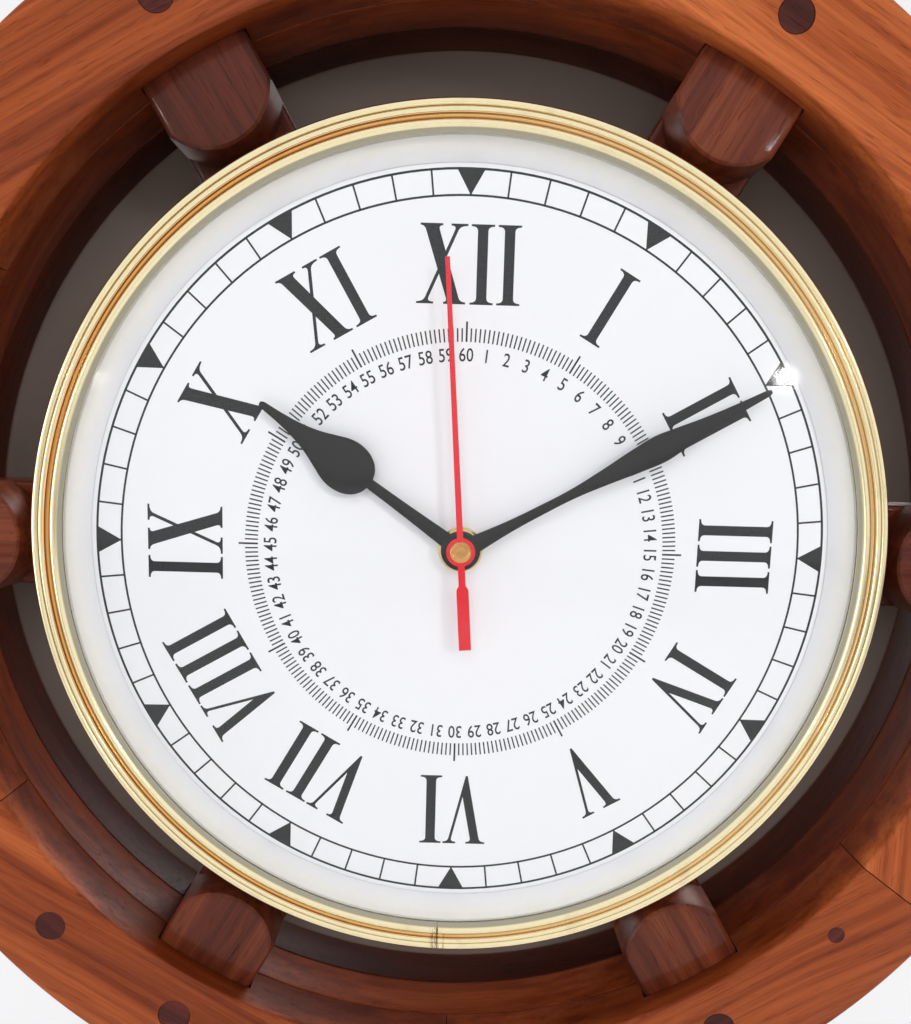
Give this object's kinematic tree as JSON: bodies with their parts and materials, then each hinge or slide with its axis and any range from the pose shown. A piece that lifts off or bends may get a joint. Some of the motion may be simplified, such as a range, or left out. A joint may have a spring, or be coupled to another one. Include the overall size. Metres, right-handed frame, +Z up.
{
  "type": "ship wheel wall clock",
  "caption": "Wooden ship's wheel with turned handles around a round quartz wall clock: white Roman dial, brass bezel, domed glass and three hands, hung by a keyhole plate.",
  "frame": {"origin": "on the rear face of the hanger plate, on the solid land just above its keyhole, in the plane of the wall", "axes": "+Z up towards 12 o'clock, -Y out of the wall towards the viewer, +X to the right seen from the front (3 o'clock)"},
  "size_m": [0.61, 0.0464, 0.5317],
  "materials": {
    "rim_wood": "orange-brown varnish over mixed planks, glossy",
    "spoke_wood": "dark red-brown varnish, glossy",
    "peg_wood": "dark plugs under varnish",
    "board_wood": "plain board",
    "dial": "satin white",
    "reveal": "satin white",
    "glass": "clear",
    "brass": "polished",
    "black_hands": "gloss black",
    "red_hand": "gloss red",
    "movement_plastic": "moulded black",
    "gear_plastic": "moulded off-white",
    "steel": "bright",
    "copper": "enamelled copper wire",
    "circuit_board": "solder mask",
    "battery": "printed sleeve, plain",
    "magnet": "dull"
  },
  "bodies": {
    "clock": {"front_felloe_1": "rim_wood", "front_felloe_2": "rim_wood", "front_felloe_3": "rim_wood", "front_felloe_4": "rim_wood", "front_felloe_5": "rim_wood", "front_felloe_6": "rim_wood", "middle_felloe_1": "rim_wood", "middle_felloe_2": "rim_wood", "middle_felloe_3": "rim_wood", "middle_felloe_4": "rim_wood", "middle_felloe_5": "rim_wood", "middle_felloe_6": "rim_wood", "back_felloe_1": "rim_wood", "back_felloe_2": "rim_wood", "back_felloe_3": "rim_wood", "back_felloe_4": "rim_wood", "back_felloe_5": "rim_wood", "back_felloe_6": "rim_wood", "spoke_1": "spoke_wood", "spoke_2": "spoke_wood", "spoke_3": "spoke_wood", "spoke_4": "spoke_wood", "spoke_5": "spoke_wood", "spoke_6": "spoke_wood", "peg_1": "peg_wood", "peg_2": "peg_wood", "peg_3": "peg_wood", "peg_4": "peg_wood", "peg_5": "peg_wood", "peg_6": "peg_wood", "hub": "spoke_wood", "dial_board": "board_wood", "dial_plate": "dial", "reveal_ring": "reveal", "glass": "glass", "bezel": "brass", "hand_nut": "brass", "movement_case": "movement_plastic", "movement_cover": "movement_plastic", "mid_plate": "gear_plastic", "battery": "battery", "contact_plus": "steel", "contact_minus": "steel", "circuit_board": "circuit_board", "coil": "copper", "stator": "steel", "hanger_plate": "brass", "hanger_screw": "steel"},
    "seconds": {"second_hand": "red_hand", "seconds_arbor": "steel"},
    "third": {"third_wheel": "gear_plastic"},
    "centre": {"centre_wheel": "gear_plastic"},
    "intermediate": {"intermediate_wheel": "gear_plastic"},
    "rotor": {"rotor": "magnet"},
    "minutes": {"minute_hand": "black_hands", "minute_arbor": "gear_plastic"},
    "hours": {"hour_hand": "black_hands", "hour_wheel": "gear_plastic"},
    "setting": {"minute_wheel": "gear_plastic", "setting_knob": "movement_plastic"}
  },
  "joints": [
    {"name": "second_hand_spin", "type": "hinge", "parent": "clock", "child": "seconds", "pos_m": [0, -0.0407, -0.16565], "axis": [0, 1, 0], "continuous": true},
    {"name": "third_wheel_spin", "type": "hinge", "parent": "clock", "child": "third", "pos_m": [-0.00719, -0.0158, -0.16303], "axis": [0, 1, 0], "continuous": true},
    {"name": "centre_wheel_spin", "type": "hinge", "parent": "clock", "child": "centre", "pos_m": [0, -0.0175, -0.16565], "axis": [0, 1, 0], "continuous": true},
    {"name": "intermediate_wheel_spin", "type": "hinge", "parent": "clock", "child": "intermediate", "pos_m": [0, -0.0115, -0.15977], "axis": [0, 1, 0], "continuous": true},
    {"name": "rotor_spin", "type": "hinge", "parent": "clock", "child": "rotor", "pos_m": [0, -0.01, -0.15473], "axis": [0, 1, 0], "continuous": true},
    {"name": "minute_hand_spin", "type": "hinge", "parent": "clock", "child": "minutes", "pos_m": [0, -0.0391, -0.16565], "axis": [0, 1, 0], "continuous": true},
    {"name": "hour_hand_spin", "type": "hinge", "parent": "clock", "child": "hours", "pos_m": [0, -0.0375, -0.16565], "axis": [0, 1, 0], "continuous": true},
    {"name": "setting_knob_spin", "type": "hinge", "parent": "clock", "child": "setting", "pos_m": [0.00727, -0.0043, -0.16145], "axis": [0, 1, 0], "continuous": true}
  ],
  "couplings": [
    {"joint": "third_wheel_spin", "follows": "second_hand_spin", "ratio": -0.13333},
    {"joint": "centre_wheel_spin", "follows": "second_hand_spin", "ratio": 0.016667},
    {"joint": "intermediate_wheel_spin", "follows": "second_hand_spin", "ratio": -6},
    {"joint": "rotor_spin", "follows": "second_hand_spin", "ratio": 30},
    {"joint": "hour_hand_spin", "follows": "minute_hand_spin", "ratio": 0.083333},
    {"joint": "setting_knob_spin", "follows": "minute_hand_spin", "ratio": -0.33333}
  ]
}
